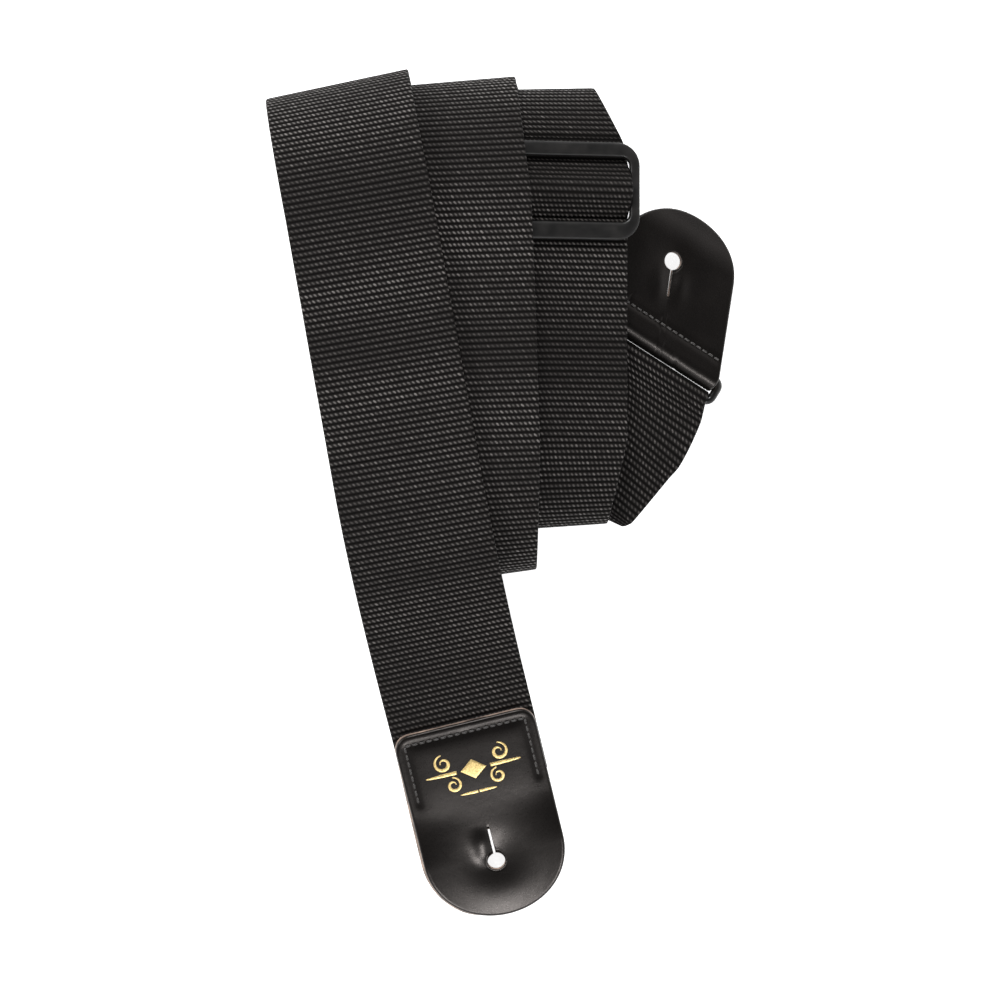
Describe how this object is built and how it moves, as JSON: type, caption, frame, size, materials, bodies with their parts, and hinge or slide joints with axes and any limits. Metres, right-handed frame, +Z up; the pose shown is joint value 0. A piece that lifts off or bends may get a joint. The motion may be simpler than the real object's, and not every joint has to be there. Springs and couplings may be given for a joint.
{
  "type": "guitar strap",
  "caption": "Black webbing strap wound in a flat coil, with leather button-hole tabs at both ends, a sliding length adjuster and a wire loop",
  "frame": {"origin": "centre of the coil's footprint, on the surface it lies on", "axes": "+Z up out of the coil, +Y along the strap towards the top folds, +X to the side where the rear tab comes out"},
  "size_m": [0.1634, 0.2966, 0.0543],
  "materials": {
    "webbing": "coarse woven polypropylene webbing, black",
    "adjuster_plastic": "satin black moulded plastic",
    "loop_metal": "black coated steel wire",
    "leather": "smooth black leather with raw cut edges",
    "thread": "black bonded sewing thread",
    "foil": "gold hot-stamped foil"
  },
  "bodies": {
    "coil": {"webbing_coil": "webbing", "webbing_slide_run": "webbing", "webbing_inner_turn": "webbing", "webbing_return": "webbing", "webbing_front_fold": "webbing", "webbing_rear_fold": "webbing"},
    "flap": {"webbing_flap": "webbing"},
    "front_end": {"webbing_sewn_end": "webbing", "front_tab": "leather", "front_tab_seam": "thread", "foil_ornament": "foil"},
    "adjuster": {"slide_adjuster": "adjuster_plastic", "webbing_saddle": "webbing", "webbing_stitched_loop": "webbing", "adjuster_seam": "thread"},
    "rear_end": {"webbing_rear_run": "webbing", "rear_loop": "loop_metal"},
    "rear_leather": {"rear_tab": "leather", "rear_tab_seam": "thread"}
  },
  "joints": [
    {"name": "front_flap_open", "type": "hinge", "parent": "coil", "child": "flap", "pos_m": [-0.05214, 0.11776, 0.027], "axis": [-0.9845, -0.1754, 0], "range_deg": [0, 110], "deforming": ["webbing_front_fold"]},
    {"name": "front_tab_flex", "type": "hinge", "parent": "flap", "child": "front_end", "pos_m": [-0.01406, -0.07801, 0.01702], "axis": [-0.972, -0.2351, 0], "range_deg": [0, 30]},
    {"name": "adjuster_slide", "type": "slide", "parent": "coil", "child": "adjuster", "axis": [0, -1, 0], "range_m": [0, 0.045], "deforming": ["webbing_slide_run"]},
    {"name": "rear_end_swing", "type": "hinge", "parent": "coil", "child": "rear_end", "pos_m": [0.01837, 0.00056, 0.014], "axis": [0, 0, -1], "range_deg": [0, 30], "deforming": ["webbing_rear_fold"]},
    {"name": "rear_tab_swing", "type": "hinge", "parent": "rear_end", "child": "rear_leather", "pos_m": [0.05427, 0.05336, 0.0124], "axis": [0.8295, -0.5183, -0.2079], "range_deg": [0, 8]}
  ]
}
